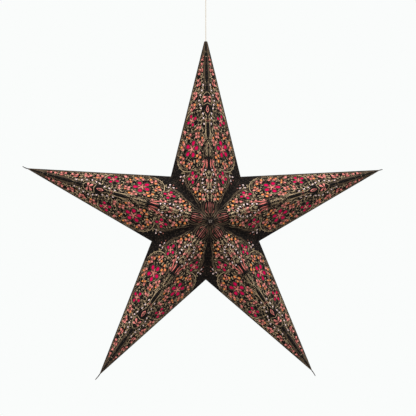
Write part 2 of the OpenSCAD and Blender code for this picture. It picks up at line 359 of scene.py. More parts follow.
def sweep(line, radii, corners, squash=1.0, turns=None):
    """The points and faces of a closed tube along a line. It may be flattened, and turn on its way."""
    one, other = side_vectors(line)
    radii = np.broadcast_to(radii, len(line))
    turns = np.zeros(len(line)) if turns is None else turns
    points, faces = [], []
    for k, middle in enumerate(line):
        for s in range(corners):
            a = 2 * math.pi * s / corners
            x, y = radii[k] * math.cos(a), squash * radii[k] * math.sin(a)
            cosine, sine = math.cos(turns[k]), math.sin(turns[k])
            points.append(middle + (cosine * x - sine * y) * one[k] + (sine * x + cosine * y) * other[k])
    for k in range(len(line) - 1):
        for s in range(corners):
            n = (s + 1) % corners
            faces.append((k * corners + s, k * corners + n, (k + 1) * corners + n, (k + 1) * corners + s))
    faces.append(tuple(reversed(range(corners))))
    faces.append(tuple(range((len(line) - 1) * corners, len(line) * corners)))
    return points, faces


def lay_plies(line, width, plies=3, corners=7):
    """Plies laid round a line like the strands of a rope, as one list of points and faces."""
    one, other = side_vectors(line)
    along = np.concatenate([[0], np.cumsum(np.linalg.norm(np.diff(line, axis=0), axis=1))])
    points, faces = [], []
    for ply in range(plies):
        a = 2 * math.pi * (along / PLY_PITCH + ply / plies)
        centres = line + 0.25 * width * (np.cos(a)[:, None] * one + np.sin(a)[:, None] * other)
        ply_points, ply_faces = sweep(centres, 0.27 * width, corners)
        faces += [tuple(p + len(points) for p in face) for face in ply_faces]
        points += ply_points
    return points, faces


string_points, string_faces = lay_plies(string_line, STRING_WIDTH)
string = make_piece("twisted_string", string_points, string_faces, [cotton], sharp=60)
print("the string has", len(string_faces), "faces")

# %% [markdown]
# ## The two knots
# Under the loop the string is wrapped round both of its strands, like the whipping on a rope.
# A coil with the outline of a stadium does that. The knot inside the top point keeps
# the string from pulling out. It is a small round knot, so a closed curve that winds round
# itself stands for it.

# %% Wrap the loop's knot
WRAP_TOP, WRAP_FOOT, WRAP_TURNS = -22.0, -28.0, 3.3
WRAP_INSET = 0.75  # half a string, so that the first and last turns stay inside the knot's height
STRAND_PITCH = 1.7  # between the middles of the loop's two strands
wrap_end = 2 * math.pi * WRAP_TURNS
wrap_line = []
for a in np.linspace(0, wrap_end, 220):
    x = STRING_WIDTH * math.cos(a) + (STRAND_PITCH / 2 if math.cos(a) > 0 else -STRAND_PITCH / 2)
    z = WRAP_FOOT + WRAP_INSET + (WRAP_TOP - WRAP_FOOT - 2 * WRAP_INSET) * a / wrap_end
    wrap_line.append((x - STRAND_PITCH / 2, STRING_WIDTH * math.sin(a) * 0.98, z))
wrap_points, wrap_faces = lay_plies(evenly(wrap_line, 0.5), STRING_WIDTH * 0.92)
loop_wrap = make_piece("wrapped_knot", wrap_points, wrap_faces, [cotton], sharp=60)
print("the wrapping has", len(wrap_faces), "faces")

# %% Tie the knot inside the top point
KNOT_MIDDLE = np.array([0.0, 0.0, -113.4])
knot_line = []
for a in np.linspace(0, 2 * math.pi, 160, endpoint=False):
    r = 1.25 + 0.75 * math.cos(3 * a)
    knot_line.append(KNOT_MIDDLE + [r * math.cos(2 * a), r * math.sin(2 * a), 1.5 * math.sin(3 * a)])
knot_line.append(knot_line[0])
knot_points, knot_faces = lay_plies(evenly(knot_line, 0.5), STRING_WIDTH * 0.95)
inner_knot = make_piece("inner_knot", knot_points, knot_faces, [cotton], sharp=60)

for piece, node in ((string, "hanging_cord"), (loop_wrap, "loop_knot"), (inner_knot, "stopper_knot")):
    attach(piece, "root")
    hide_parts(node)
print("the inner knot has", len(knot_faces), "faces")

# %% [markdown]
# ## The shape of the star
# The star's corners come from a few radii and angles. A facet is the triangle between the
# front or back centre, a tip and an inner corner, and there are four to a point. They are all
# nearly alike, so the print is drawn once on a flat facet and then laid on all twenty. Flat
# positions run along the ridge from the centre, and across from the ridge to the inner corner.

# %% Corners and facets
POINTS = ["top", "upper_right", "lower_right", "lower_left", "upper_left"]
TIP_TURNS = [90, 16.5, -54.4, -124.9, 163.5]  # degrees, from the right and upwards
CORNER_TURNS = [52.2, -19.8, -90, -160.2, 127.8]  # each corner follows its point clockwise
CORNER_RADII = [97, 97, 98.2, 97.7, 97]  # the folds give a little, so not all are alike
TIP_RADIUS, HALF_DEPTH, TOP_STRETCH = 315, 88, 2
CARD, TISSUE, GLUE = 0.4, 0.2, 0.04  # thicknesses
RIDGE = 327.0  # length of the flat facet's ridge
FOOT, ACROSS = 99.2, 85.6  # place of its inner corner, along the ridge and across from it


def around(radius, degrees):
    """A place in the star's plane, from its centre."""
    a = math.radians(degrees)
    return np.array([radius * math.cos(a), 0.0, radius * math.sin(a)])


def unit(way):
    """A direction with its length made one."""
    return way / np.linalg.norm(way)


class Facet:
    """One flat facet of a point: its place in space, and how flat positions are laid on it."""

    def __init__(self, point, side, face):
        self.centre = np.array([0.0, face * HALF_DEPTH, 0.0])
        self.tip = around(TIP_RADIUS + (TOP_STRETCH if point == 0 else 0), TIP_TURNS[point])
        k = point if side == 0 else point - 1
        self.corner = around(CORNER_RADII[k], CORNER_TURNS[k])
        self.along = (self.tip - self.centre) / RIDGE
        self.across = (self.corner - self.centre - FOOT * self.along) / ACROSS
        self.out = unit(np.cross(self.along, self.across))
        self.flipped = self.out @ self.centre < 0
        if self.flipped:
            self.out = -self.out

    def lay(self, flat, depth=0.0, shift=0.0):
        """The places of flat positions, below the printed face by a depth or moved by a shift."""
        flat = np.asarray(flat, float).reshape(-1, 2)
        laid = self.centre + flat[:, :1] * self.along + flat[:, 1:] * self.across
        return laid - depth * self.out + shift

    def flatten(self, place):
        """The flat position of a place, seen square to the facet."""
        base = np.stack([self.along, self.across, self.out], axis=1)
        return np.linalg.solve(base, place - self.centre)[:2]


def inward(point, depth):
    """How far the fold lines of a point move when its four faces are each set in by a depth."""
    a, b = (Facet(point, side, -1).out for side in (0, 1))
    area = a[0] * b[2] - a[2] * b[0]
    return -depth / area * np.array([b[2] - a[2], 0.0, a[0] - b[0]])


one_facet = Facet(1, 0, -1)
print("a ridge is", round(float(np.linalg.norm(one_facet.tip - one_facet.centre)), 1), "mm long")

# %% [markdown]
# ## Drawing the print
# The print is a classic floral one: rosettes of cut petals, small salmon and orange blossoms,
# rows of pearl petals, and gold tendrils in all the gaps. An image could be laid on the card,
# but it would blur close up. Here every motif is an outline with an ink, drawn one over another
# like cut paper. The outlines are simple: drops, leaves, discs and ribbons along curves.

# %% Outlines to draw with
drawing = []  # (ink, outline) in the order they are printed, the last on top


def ink(name, outline):
    """Prints an outline over all that is drawn so far."""
    drawing.append((name, np.asarray(outline, float)))


def turned(outline, x, y, degrees):
    """An outline that is turned about 0, 0 and then moved to x, y."""
    a = math.radians(degrees)
    outline = np.asarray(outline, float)
    return np.stack(
        [
            x + outline[:, 0] * math.cos(a) - outline[:, 1] * math.sin(a),
            y + outline[:, 0] * math.sin(a) + outline[:, 1] * math.cos(a),
        ],
        axis=1,
    )


def disc(x, y, r, corners):
    """A round dot."""
    angles = np.arange(corners) * 2 * math.pi / corners
    return turned([(r * math.cos(a), r * math.sin(a)) for a in angles], x, y, 0)


def drop(x, y, length, width, degrees, steps):
    """A petal: a point at x, y, and a round end a length away."""
    r = width / 2
    touch = math.acos(-r / max(length - r, r * 1.01))
    angles = np.linspace(-touch, touch, steps + 1)
    return turned([(0, 0)] + [(length - r + r * math.cos(a), r * math.sin(a)) for a in angles], x, y, degrees)


def leaf(x, y, length, width, degrees, steps, bend=0.0):
    """A leaf with a point at each end, from x, y on, and bent to one side."""
    t = np.linspace(0, 1, steps + 1)
    middle = bend * length * np.sin(math.pi * t)
    half = width / 2 * np.sin(math.pi * t)
    upper = list(zip(length * t, middle + half))
    lower = list(zip(length * t, middle - half))[1:-1]
    return turned(upper + lower[::-1], x, y, degrees)


def ribbon(points, width, ends=0.35, step=1.6):
    """A line of a width along a smooth curve, thinner towards its ends."""
    line = evenly(points, step)
    heading = np.gradient(line, axis=0)
    heading /= np.maximum(np.linalg.norm(heading, axis=1), 1e-9)[:, None]
    square = np.stack([-heading[:, 1], heading[:, 0]], axis=1)
    t = np.linspace(-1, 1, len(line))[:, None]
    half = width / 2 * (ends + (1 - ends) * np.sqrt(1 - np.abs(t) ** 3))
    return np.vstack([line + half * square, (line - half * square)[::-1]])


def curl(x, y, r, start, turn, shrink=0.45, count=9):
    """The points of a tendril that curls in towards its middle."""
    t = np.linspace(0, 1, count)
    a = np.radians(start + turn * t)
    radius = r * (1 - shrink * t)
    return np.stack([x + radius * np.cos(a), y + radius * np.sin(a)], axis=1)


# %% Motifs made of them
def petal(x, y, length, width, degrees, colour, gap):
    """A printed petal round its middle, with a dark gap about it and a vein along it."""
    length, width = 1.12 * length, 1.16 * width  # the ink spreads a little
    ax, ay = math.cos(math.radians(degrees)), math.sin(math.radians(degrees))
    fx, fy = x - length / 2 * ax, y - length / 2 * ay
    gap_x, gap_y = fx - 1.3 * gap * ax, fy - 1.3 * gap * ay
    ink("card", drop(gap_x, gap_y, length + 2.3 * gap, width + 2 * gap, degrees, 6))
    ink(colour, drop(fx, fy, length, width, degrees, 6))
    vein = {"salmon": "dusky", "orange": "salmon", "pearl": "dusky"}.get(colour)
    if vein and width > 2.4:
        ink(vein, leaf(fx + 0.15 * length * ax, fy + 0.15 * length * ay, 0.5 * length, 0.55, degrees, 2))


def cut_rosette(x, y, petals, start, eye, length, width, rim):
    """The inked part of a rosette whose petals are cut out: bronze outlines, and a star between them."""
    cuts, ways = [], [start + 360 * k / petals for k in range(petals)]
    for name, back, wider in (("card", 2.0, rim + 0.9), ("bronze", 1.5, rim), ("card", 0.7, rim - 0.8)):
        for a in ways:
            near = eye - back
            bx, by = x + near * math.cos(math.radians(a)), y + near * math.sin(math.radians(a))
            ink(name, drop(bx, by, length + back + wider, width + 2 * wider, a, 8))
    for a in ways:
        px, py = x + eye * math.cos(math.radians(a)), y + eye * math.sin(math.radians(a))
        cuts.append(drop(px, py, length, width, a, 12))
        b = a + 180 / petals
        ink("salmon", leaf(x, y, eye + length * 0.36, 2.1, b, 4))
        ink("dusky", leaf(x, y, eye + length * 0.3, 0.6, b, 2))
    ink("salmon", disc(x, y, eye * 0.42, 8))
    ink("gold", disc(x, y, eye * 0.2, 6))
    return cuts


# %% [markdown]
# ## Composing one facet
# The large motifs come first in the plan and the tendrils fill what is left, but they are
# printed the other way round: tendrils at the bottom, then medallions, blossoms and rosettes.
# The strip by the valley stays almost plain, with a faint pattern only. Each place was chosen
# on the photograph's facets, laid flat.

# %% Where the large motifs lie
LARGE, INNER, OUTER = (133.4, 37.2), (83.7, 36.4), (183.8, 35.5)
PETALS = [  # middle, length, width, direction and ink of each printed petal
    # Blossoms by the middle of the star
    (40.6, 13.8, 6.0, 3.6, 255, "salmon"), (42.8, 20.6, 5.6, 3.4, 75, "orange"),
    (47.8, 15.4, 4.6, 3.2, 300, "salmon"), (51.0, 20.8, 4.8, 3.6, 30, "orange"),
    (57.6, 30.8, 4.6, 3.8, 170, "orange"), (63.0, 33.0, 5.6, 3.0, 62, "salmon"),
    (61.6, 27.0, 4.8, 3.8, 275, "salmon"), (68.6, 24.4, 4.4, 3.8, 340, "salmon"),
    # The pale one beside the inner rosette
    (92.3, 62.4, 4.6, 2.4, 85, "pearl"), (84.8, 57.8, 4.4, 2.4, 185, "pearl"),
    (91.8, 55.8, 4.0, 2.2, 285, "pearl"), (87.0, 64.0, 3.2, 1.8, 120, "dusky"),
    (79.8, 58.6, 3.0, 1.8, 150, "dusky"),
    # Round the large rosette
    (107.2, 48.4, 4.6, 3.8, 95, "orange"), (102.8, 42.4, 5.0, 3.6, 190, "salmon"),
    (109.0, 43.6, 3.8, 3.0, 0, "salmon"), (108.6, 37.8, 4.4, 3.6, 280, "orange"),
    (115.2, 56.0, 5.4, 3.6, 262, "orange"), (117.5, 61.4, 5.2, 3.0, 76, "salmon"),
    (122.6, 56.6, 5.0, 3.4, 250, "salmon"), (126.2, 61.4, 5.2, 2.8, 65, "orange"),
    (139.0, 57.0, 6.0, 3.4, 222, "salmon"), (143.2, 59.4, 4.8, 3.2, 62, "orange"),
    (147.0, 54.0, 4.6, 3.4, 265, "salmon"), (150.8, 55.6, 4.4, 3.0, 25, "orange"),
    (155.0, 42.6, 5.0, 2.8, 240, "orange"), (157.6, 46.8, 4.2, 2.4, 62, "orange"),
    (159.4, 39.4, 4.6, 2.8, 330, "salmon"), (167.0, 51.2, 6.4, 3.6, 30, "salmon"),
    (110.0, 25.6, 4.8, 3.8, 160, "orange"), (118.8, 25.4, 4.8, 3.6, 35, "orange"),
    (114.4, 19.4, 5.2, 4.0, 262, "orange"), (121.4, 19.2, 4.4, 2.8, 340, "salmon"),
    (152.4, 26.0, 5.2, 3.4, 125, "salmon"), (151.4, 21.4, 4.6, 3.2, 220, "salmon"),
    (157.8, 26.2, 4.8, 3.0, 45, "salmon"), (156.8, 21.0, 4.2, 2.8, 320, "orange"),
    (135.6, 14.6, 5.0, 3.4, 195, "salmon"), (140.4, 19.0, 5.2, 3.2, 72, "salmon"),
    (141.6, 12.2, 4.8, 3.4, 265, "salmon"), (146.2, 13.2, 4.6, 2.8, 15, "orange"),
    (167.6, 23.0, 5.2, 3.2, 78, "salmon"), (166.6, 17.8, 5.2, 3.0, 205, "salmon"),
    # Between the outer rosette and the tip
    (202.8, 35.2, 6.0, 2.8, 25, "salmon"), (205.0, 29.8, 4.8, 3.0, 245, "salmon"),
    (209.6, 28.4, 4.6, 3.4, 325, "orange"), (211.0, 34.2, 4.8, 2.6, 62, "salmon"),
    (221.6, 28.6, 4.8, 3.4, 150, "salmon"), (224.2, 24.8, 4.4, 3.0, 250, "salmon"),
    (228.6, 24.4, 4.8, 3.2, 325, "salmon"), (230.4, 28.4, 4.4, 3.0, 55, "salmon"),
    (243.2, 20.6, 5.4, 3.4, 120, "salmon"), (250.4, 19.2, 5.2, 2.8, 40, "salmon"),
    (262.2, 16.4, 5.4, 3.2, 100, "salmon"), (268.0, 14.4, 4.4, 2.6, 340, "salmon"),
    (277.4, 10.4, 5.2, 2.8, 15, "salmon"), (285.6, 8.6, 5.0, 2.6, 100, "salmon"),
    (290.4, 6.4, 4.0, 2.0, 60, "dusky"),
    # Beside the ridge
    (70.0, 4.8, 6.0, 3.0, 30, "salmon"), (66.0, 1.2, 4.4, 2.2, 10, "dusky"),
    (84.0, 16.8, 5.0, 3.0, 75, "salmon"), (90.6, 14.4, 7.4, 4.0, 40, "salmon"),
    (105.0, 11.6, 4.8, 3.2, 75, "salmon"), (173.0, 2.2, 4.4, 2.0, 20, "dusky"),
    (63.6, 7.0, 4.0, 1.8, 60, "dusky"), (48.6, 8.6, 4.4, 2.0, 200, "dusky"),
    (76.6, 8.4, 4.0, 1.8, 30, "dusky"),
]
PEARLS = [  # middle and direction of each pearl petal
    (239.0, 8.2, 35), (230.6, 11.0, 110), (223.0, 15.0, 60), (214.4, 18.0, 80), (206.2, 16.2, 60),
    (199.0, 14.2, 35), (188.4, 10.2, 20), (180.0, 9.6, 15), (169.6, 8.4, 15), (89.2, 7.6, 70),
    (82.4, 11.0, 30), (75.0, 13.8, 95), (69.0, 14.6, 95), (61.4, 12.6, 120), (56.0, 9.2, 110),
    (52.2, 4.6, 120),
]
LEAF_CUTS = [  # middle, length and direction of each cut leaf
    (28.4, 8.6, 13, -14), (99.1, 4.7, 17, 0), (97.8, 11.1, 17, -26), (243.9, 15.8, 8, -12),
    (266.8, 9.8, 8, -12),
]
PRINTED = [  # the printed field, from the middle round to the tip
    (38, -1), (37, 12), (34, 22), (46, 32.8), (60, 41.4), (72, 48.6), (80, 54), (88, 59), (97, 61),
    (104, 65), (114, 70), (124, 72.4), (134, 70.6), (200, 45.8), (260, 23.2), (322, 0.3), (322, -1),
]
print(len(PETALS), "printed petals and", len(PEARLS), "pearl petals are planned")


# %% Which points lie inside an outline
def inside(points, outline):
    """Which of the points lie inside an outline."""
    points, outline = np.asarray(points, float), np.asarray(outline, float)
    hit = np.zeros(len(points), bool)
    for (ax, ay), (bx, by) in zip(outline, np.roll(outline, -1, axis=0)):
        if ay != by:
            above = (ay > points[:, 1]) != (by > points[:, 1])
            hit ^= above & (points[:, 0] < (bx - ax) * (points[:, 1] - ay) / (by - ay) + ax)
    return hit


# %% Tendrils in the gaps
rng = random.Random(7)
# Middles and radii of the places that the tendrils keep out of
keep_clear = [(x, y, 2.0) for x, y, *_ in PETALS] + [(x, y, 1.5) for x, y, _ in PEARLS]
keep_clear += [(*LARGE, 14.6), (*INNER, 10.6), (*OUTER, 10.6)]
whole_facet = [(0, 0), (FOOT, ACROSS), (RIDGE, 0)]


def scatter(outline, spacing, tries):
    """Random places inside an outline, clear of the motifs and of one another."""
    found = []
    for _ in range(tries):
        x, y = rng.uniform(2, 322), rng.uniform(0.6, 84)  # a box round the whole facet
        free = all((x - cx) ** 2 + (y - cy) ** 2 > cr * cr for cx, cy, cr in keep_clear)
        if free and all((x - px) ** 2 + (y - py) ** 2 > spacing**2 for px, py in found):
            if inside([(x, y)], outline)[0]:
                found.append((x, y))
    return found


def sprout(x, y, colour, size):
    """A curl, a pair of leaves or a bud, which turns round the nearest motif."""
    cx, cy, _ = min(keep_clear, key=lambda c: (x - c[0]) ** 2 + (y - c[1]) ** 2 - c[2] ** 2)
    facing = math.degrees(math.atan2(y - cy, x - cx))
    kind = rng.random()
    if kind < 0.5:
        turn = rng.choice([-1, 1]) * rng.uniform(200, 300)
        start = facing + rng.uniform(-50, 50)
        ink(colour, ribbon(curl(x, y, size * rng.uniform(1.9, 2.7), start, turn), size * 1.1, step=1.1))
    elif kind < 0.85:
        a = facing + 90 + rng.uniform(-35, 35)
        ink(colour, leaf(x, y, size * rng.uniform(3.4, 5.0), size * 1.5, a, 4, rng.uniform(-0.25, 0.25)))
        ink(colour, leaf(x, y, size * rng.uniform(2.6, 3.8), size * 1.3, a + rng.choice([-1, 1]) * 70, 3))
    else:
        ink(colour, leaf(x, y, size * 3.6, size * 1.4, facing + 180 + rng.uniform(-30, 30), 4, 0.2))


valley_sprouts = [spot for spot in scatter(whole_facet, 3.9, 7000) if not inside([spot], PRINTED)[0]]
for x, y in valley_sprouts:
    sprout(x, y, "faint", 0.8)
sprouts = scatter(PRINTED, 4.3, 26000)
for x, y in sprouts:
    shades = ["gold"] * (3 if x > 200 else 2) + ["bronze"]
    sprout(x, y, rng.choice(shades), 1.0)
# A dot of colour beside every ninth
for x, y in sprouts[::9]:
    ink(rng.choice(["dusky", "dusky", "salmon", "orange"]), disc(x + 1.2, y + 0.6, rng.uniform(0.6, 0.9), 7))
print(len(sprouts), "sprouts of tendrils and leaves,", len(valley_sprouts), "faint ones")

# %% [markdown]
# ## The medallions
# Gold lines gather the motifs into medallions: an egg shape round the large rosette, an arch
# round the inner one and a ring round the outer one. Each line is a ribbon that follows a
# curve through a few points chosen on the photograph.

# %% Draw the medallions' lines
LINES = [
    ("gold", 1.2, [(101, 57), (97.6, 50), (96, 43), (96.4, 36), (98.4, 29)]),
    ("gold", 1.0, [(124, 70.4), (115, 68), (107.6, 64), (101, 57.6), (97.6, 50)]),
    ("bronze", 0.9, [(127, 66.6), (117, 65), (110, 61), (104.4, 55), (101.4, 48)]),
    ("bronze", 1.1, [(98.4, 29), (95, 25), (90.6, 21), (87.6, 19.6)]),
    ("bronze", 0.9, [(124, 70.4), (136, 66), (148, 61), (158, 54.6), (163.6, 46), (164, 38), (161, 31)]),
    ("bronze", 0.8, [(130, 64.6), (134, 60), (134, 55)]),
    ("bronze", 0.9, [(161, 31), (160, 22), (155, 14.6), (149, 9)]),
    ("gold", 1.2, [(159, 5.6), (151, 6.6), (143, 6.8)]),
    ("gold", 1.0, [(154, 13), (147, 9.6), (138, 8.6)]),
    ("bronze", 0.9, [(104, 27), (106, 17), (112, 12), (122, 10.6), (130, 10)]),
    ("bronze", 1.0, [(95, 47), (88, 50.6), (80, 50.6), (71, 47), (62, 41.6), (52, 35), (42, 30), (36, 25)]),
    ("bronze", 0.8, [(94, 50.6), (86, 53.4), (77, 52.4), (68, 47.6)]),
    ("bronze", 0.9, [(94, 42), (90.6, 47)]),
    ("bronze", 0.9, [(78, 47), (72.6, 43), (70, 37), (71, 31), (74.6, 26.6), (79, 24.4)]),
    ("bronze", 1.0, [(170, 42), (175, 48), (182, 49.6), (189, 47.6)]),
    ("gold", 1.5, [(189, 47.6), (194, 43.6), (197.6, 37.6), (198, 32)]),
    ("bronze", 0.9, [(198, 32), (196.6, 26), (192, 21.6), (184, 19.6), (176, 21), (170, 27), (169, 35)]),
    ("bronze", 0.9, [(200, 21), (206, 22.6), (214, 22), (221, 19), (228, 15), (236, 12)]),
    ("gold", 1.0, [(203.6, -9.5), (204.4, -4), (204.4, 4), (203.6, 9.5)]),
    ("gold", 1.0, [(224, 0), (222.6, 6), (217, 11), (210, 12.6), (203.6, 10.6)]),
    ("bronze", 0.9, [(203.6, 10.6), (194, 7.6), (188.6, 4.6), (184, 0)]),
    ("gold", 0.9, [(184, 0), (178, 4.2), (171, 5.6), (164, 5.2)]),
    ("bronze", 0.75, [(228, 4.0), (244, 4.4), (260, 4.3), (276, 3.6), (290, 2.4)]),
    ("bronze", 0.9, [(240, 6.2), (254, 6.4), (268, 5.8), (282, 4.8)]),
    ("faint", 0.9, [(246, 8.0), (258, 7.8), (270, 7.0)]),
    ("gold", 0.9, [(172, 4.0), (162, 5.0), (152, 4.8), (142, 3.0)]),
    ("gold", 0.8, [(136, 3.4), (128, 4.0), (120, 3.4), (111, 2.4)]),
    ("bronze", 0.8, [(138, 5.6), (128, 6.6), (118, 6.2), (110, 6.0)]),
    ("bronze", 0.9, [(52, 12.6), (60, 17), (70, 19.4), (79, 19.8)]),
]
for name, width, points in LINES:
    ink("card", ribbon(points, width + 1.2, 0.8))
for name, width, points in LINES:
    ink(name, ribbon(points, width, 0.5))
print(len(LINES), "medallion lines")

# %% The border along the side edge
edge_from, edge_to = np.array([FOOT, ACROSS]), np.array([RIDGE, 0.0])
edge_way = unit(edge_to - edge_from)
edge_in = np.array([edge_way[1], -edge_way[0]])
edge_length = np.linalg.norm(edge_to - edge_from)
edge_turn = math.degrees(math.atan2(edge_way[1], edge_way[0]))


def by_edge(distance, depth):
    """A flat position, measured along the side edge from the inner corner and in from it."""
    return edge_from + distance * edge_way + depth * edge_in


dark_strip = [(8, -1), (edge_length + 2, -1), (edge_length - 6, 2.3), (18, 2.3)]
thin_line = [(30, 2.1), (edge_length - 12, 2.1), (edge_length - 14, 2.7), (34, 2.7)]
ink("card", [by_edge(*place) for place in dark_strip])
ink("bronze", [by_edge(*place) for place in thin_line])
for n in range(50):
    start = 36 + n * 4.2
    if start < edge_length - 24:
        ink("bronze", leaf(*by_edge(start, 3.2), 3.0, 1.0, edge_turn - 18, 3))
        ink("faint", leaf(*by_edge(start + 2, 1.3), 2.4, 0.6, edge_turn, 2))
print("the side edge is", round(float(edge_length), 1), "mm long")

# %% [markdown]
# ## Figures on the ridge, blossoms and rosettes
# A motif on the ridge is drawn whole, across the fold. Only its half on this facet is kept, and
# the next facet is a mirror image, so the two halves meet on the fold.

# %% Figures on the ridge
# The lines at the tip, which run together
for start, depth in ((44, 3.3), (40, 5.0), (37, 6.8), (33, 8.4), (52, 4.4)):
    way = [by_edge(edge_length - start, depth), by_edge(edge_length - start / 2, depth * 0.6)]
    line = way + [by_edge(edge_length - 4.5, depth * 0.18)]
    ink("card", ribbon(line, 1.9, 0.6))
    ink("gold" if depth < 4 else "bronze", ribbon(line, 0.8, 0.5))
# The twin petals with their dome
ink("card", [(205, -9), (217, -9), (223, -4), (223, 4), (217, 9), (205, 9)])
for side in (-1, 1):
    ink("salmon", drop(213.4, side * 0.7, 8.4, 4.6, side * 122, 7))
    ink("salmon", drop(215.4, side * 1.0, 8.2, 3.8, side * 74, 7))
    ink("dusky", leaf(212.4, side * 2.4, 4.4, 0.7, side * 122, 3))
    ink("dusky", leaf(215.8, side * 2.6, 4.6, 0.7, side * 74, 3))
ink("bronze", leaf(206, 0, 14, 1.2, 0, 4))
# The bell under them
ink("card", [(203.4, -10.6), (203.4, 10.6), (196, 9), (186, 3.4), (184, 0), (186, -3.4), (196, -9)])
ink("salmon", leaf(187, 0, 13, 6.8, 0, 6))
ink("card", leaf(188.6, 0, 10, 4.4, 0, 4))
ink("gold", leaf(191, 0, 4, 1.2, 0, 3))
# The dark ground of the tulip's stripes. The stripes themselves are cut further on
ink("card", [(88, -6), (110, -6.4), (110, 6.4), (88, 6)])
ink("bronze", ribbon([(90, 7.0), (98, 7.4), (108, 8.4)], 0.8, 0.5))
# The lily at the centre, all thin lines
ink("card", [(11, -3), (30, -3), (32, 3), (30.6, 7), (26, 9.6), (19, 9.6), (13, 6)])
for colour, width, way in (
    ("dusky", 1.0, [(14, 1.5), (21, 2.2), (31, 2.3)]),
    ("salmon", 0.8, [(25, 2.4), (29, 2.4), (33, 2.0)]),
    ("dusky", 1.1, [(15, 5.8), (18.6, 9.0), (23, 10.2), (28, 10.0)]),
    ("bronze", 0.6, [(11, 2.8), (17, 4.8), (24, 5.4), (30, 4.8)]),
    ("bronze", 0.8, [(8, 4.0), (13, 9.0), (22, 13.6), (31, 13.2), (38, 9.6), (41, 4.4), (41.6, -1)]),
    ("bronze", 0.7, [(10, 6.6), (16, 12.6), (25, 17.4), (34, 18), (43, 14.4)]),
    ("faint", 0.8, [(14, 11.0), (21, 17.0), (30, 22.8), (38, 27.0)]),
    ("bronze", 0.6, [(7, 1.0), (13, 4.4), (17, 6.0)]),
):
    ink(colour, ribbon(way, width, 0.5))
print(len(drawing), "outlines so far")

# %% Petals, pearls and rosettes
# The larger petals first get a small dusky one on each side of their foot
for x, y, length, width, degrees, colour in PETALS:
    if colour in ("salmon", "orange") and x > 55 and length > 4.3:
        for turn in (-62, 62):
            a = math.radians(degrees + 180 + turn)
            petal(x + 3.0 * math.cos(a), y + 3.0 * math.sin(a), 2.8, 1.7, degrees + turn, "dusky", 0.3)
for motif in PETALS:
    petal(*motif, 0.4)
for x, y, degrees in PEARLS:
    petal(x, y, 4.0, 2.4, degrees, "pearl", 0.7)
# Middle, petals, first direction, eye, length, width and rim of each rosette
cuts = cut_rosette(*LARGE, 5, -22, 5.2, 9.4, 7.0, 1.9)
cuts += cut_rosette(*INNER, 4, 0, 4.0, 6.8, 5.2, 1.6)
cuts += cut_rosette(*OUTER, 4, 12, 4.0, 6.8, 5.2, 1.6)
# Cut leaves, on a dark ground, and all but the lily's with a salmon rim
for x, y, length, degrees in LEAF_CUTS:
    layers = [("card", 1.9, 5.0)]
    if x > 50:
        layers.append(("salmon", 0.5, 2.9))
    for name, more, width in layers:
        outer = turned([(-length / 2 - more, 0)], x, y, degrees)[0]
        ink(name, leaf(*outer, length + 2 * more, width, degrees, 6))
    spine = turned([(-length / 2, 0)], x, y, degrees)[0]
    cuts.append(leaf(*spine, length, 2.2, degrees, 8))
print(len(cuts), "cuts")

# %% Spears, gold leaves and worn folds, over all the rest
SPEARS = [  # start, length and width of the dark spears along the ridge
    (289, 32, 5.0), (225, 68, 7.0), (172, 15, 4.4), (136, 42, 7.6), (86, 48, 3.2), (42, 40, 1.8),
]
RIDGE_LEAVES = [  # start and direction of the gold leaves between them
    (38, 1.6, 24), (43, 1.2, 60), (41, 5.4, -10), (47, 1.3, 8), (55, 1.2, 30), (61, 1.3, 8),
    (58, 5.6, -35), (65, 4.6, 20), (72, 1.3, 8), (76, 3.6, 35), (79, 1.3, 8), (83, 3.8, -30),
    (34, 2.6, 30), (35, 8.6, 50), (113, 4.4, 25), (119, 5.6, -20), (124, 6.0, 30), (129, 2.2, 15),
]
for x, length, width in SPEARS:
    ink("card", leaf(x, 0, length, width, 0, 10))
ink("gold", disc(134, 0, 1.3, 10))
for x, y, degrees in RIDGE_LEAVES:
    ink("gold", leaf(x, y, 5.5, 1.1, degrees, 3))
for x, y in ((253, 7.4), (247, 10), (259, 9.6), (233, 15.8)):
    ink("gold", disc(x, y, 0.8, 7))
# Worn paper at the front centre, and a rubbed line on the fold
ink("worn", disc(0, 0, 3.4, 16))
for n in range(26):
    start = 10 + n * 12 + rng.uniform(-3, 3)
    ink("worn", leaf(start, 0, rng.uniform(3, 7), 0.26, 0, 2))
print(len(drawing), "outlines are drawn")

# %% [markdown]
# ## Cutting the drawing into triangles
# A mesh needs faces that meet edge to edge. A constrained triangulation does that: it keeps
# every outline as edges and fills the rest with triangles. Each triangle then takes the ink of
# the topmost outline that it lies in, and those inside a cut petal are left out.

# %% Triangles with an ink
HOLE_RADIUS = 1.2  # of the small hole that the five points leave at the front and back centre
RIDGE_LEAN, VALLEY_LEAN = 0.963, 0.741  # how much shorter a ridge and a valley look from the front
valley_way = unit(np.array([FOOT, ACROSS]))
HOLE_ARC = np.array(
    [(HOLE_RADIUS / RIDGE_LEAN, 0.0), (1.22, 0.56), valley_way * HOLE_RADIUS / VALLEY_LEAN]
)
BORDER = np.vstack([HOLE_ARC[:1], [[RIDGE, 0.0]], [[FOOT, ACROSS]], HOLE_ARC[:0:-1]])


def triangulate(outlines):
    """Triangles that keep every outline's edges, and their middles."""
    points, edges = [], []
    for outline in outlines:
        first = len(points)
        points += [Vector(p) for p in outline]
        edges += [(first + k, first + (k + 1) % len(outline)) for k in range(len(outline))]
    found, _, triangles, *_ = delaunay_2d_cdt(points, edges, [], 0, 1e-3, False)
    found = np.array([tuple(p) for p in found], float)
    triangles = np.array(triangles, int)
    return found, triangles, found[triangles].mean(axis=1)


half = [(name, outline) for name, outline in drawing if outline[:, 1].max() > 0.02]
flat_points, flat_faces, middles = triangulate([BORDER] + [outline for _, outline in half] + cuts)


